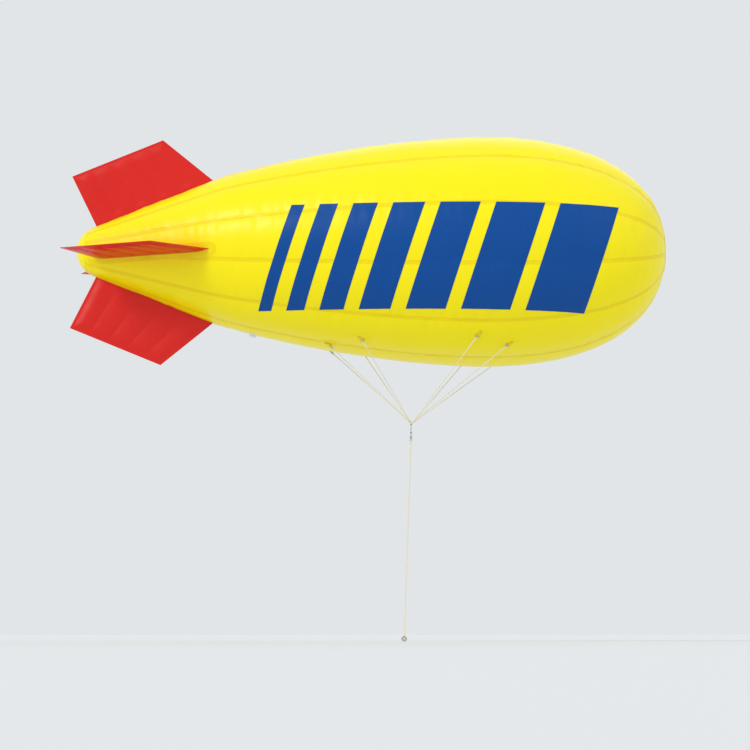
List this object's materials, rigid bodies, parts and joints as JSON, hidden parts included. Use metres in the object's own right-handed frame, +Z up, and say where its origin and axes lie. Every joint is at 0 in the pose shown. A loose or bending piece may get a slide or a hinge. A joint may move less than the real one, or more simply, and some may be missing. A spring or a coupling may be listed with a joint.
{
  "type": "advertising blimp balloon",
  "caption": "Tethered teardrop blimp balloon: a hull of welded gores, flat tail fins, bridle lines gathered on a ring, and a tether that turns on a swivel.",
  "frame": {"origin": "on the hull's axis, 3.48 m forward of the tail tip and 44 mm behind the hull's centre of buoyancy", "axes": "+X along the hull's axis to the nose, +Y to the left side, +Z up"},
  "size_m": [6.0693, 2.331, 5.1215],
  "materials": {
    "envelope_yellow": "satin",
    "fin_red": "satin",
    "print_blue": "satin",
    "cord": "matte",
    "steel": "satin",
    "valve_plastic": "matte"
  },
  "bodies": {
    "balloon": {"envelope_gore_01": "envelope_yellow", "envelope_gore_02": "envelope_yellow", "envelope_gore_03": "envelope_yellow", "envelope_gore_04": "envelope_yellow", "envelope_gore_05": "envelope_yellow", "envelope_gore_06": "envelope_yellow", "envelope_gore_07": "envelope_yellow", "envelope_gore_08": "envelope_yellow", "envelope_gore_09": "envelope_yellow", "envelope_gore_10": "envelope_yellow", "envelope_gore_11": "envelope_yellow", "envelope_gore_12": "envelope_yellow", "nose_cap": "envelope_yellow", "tail_cap": "envelope_yellow", "fin_top": "fin_red", "fin_bottom": "fin_red", "fin_right": "fin_red", "fin_left": "fin_red", "fin_band_top": "envelope_yellow", "fin_band_bottom": "envelope_yellow", "fin_band_right": "envelope_yellow", "fin_band_left": "envelope_yellow", "bridle_patch_right_1": "envelope_yellow", "bridle_patch_right_2": "envelope_yellow", "bridle_patch_right_3": "envelope_yellow", "bridle_patch_right_4": "envelope_yellow", "bridle_patch_left_1": "envelope_yellow", "bridle_patch_left_2": "envelope_yellow", "bridle_patch_left_3": "envelope_yellow", "bridle_patch_left_4": "envelope_yellow", "bridle_d_ring_right_1": "steel", "bridle_d_ring_right_2": "steel", "bridle_d_ring_right_3": "steel", "bridle_d_ring_right_4": "steel", "bridle_d_ring_left_1": "steel", "bridle_d_ring_left_2": "steel", "bridle_d_ring_left_3": "steel", "bridle_d_ring_left_4": "steel", "bridle_line_right_1": "cord", "bridle_line_right_2": "cord", "bridle_line_right_3": "cord", "bridle_line_right_4": "cord", "bridle_line_left_1": "cord", "bridle_line_left_2": "cord", "bridle_line_left_3": "cord", "bridle_line_left_4": "cord", "bridle_ring": "steel", "valve_flange": "valve_plastic", "valve_cap": "valve_plastic"},
    "swivel_top": {"swivel_eye": "steel"},
    "tether_line": {"swivel_barrel": "steel", "tether": "cord", "tether_end_splice": "cord", "tether_thimble": "steel"}
  },
  "joints": [
    {"name": "tether_swing", "type": "hinge", "parent": "balloon", "child": "swivel_top", "pos_m": [-0.075, 0, -1.854], "axis": [0, 1, 0], "range_deg": [-45, 45]},
    {"name": "tether_swivel", "type": "hinge", "parent": "swivel_top", "child": "tether_line", "pos_m": [-0.07623, 0, -1.88898], "axis": [0.0352, 0, 0.9994], "continuous": true}
  ]
}
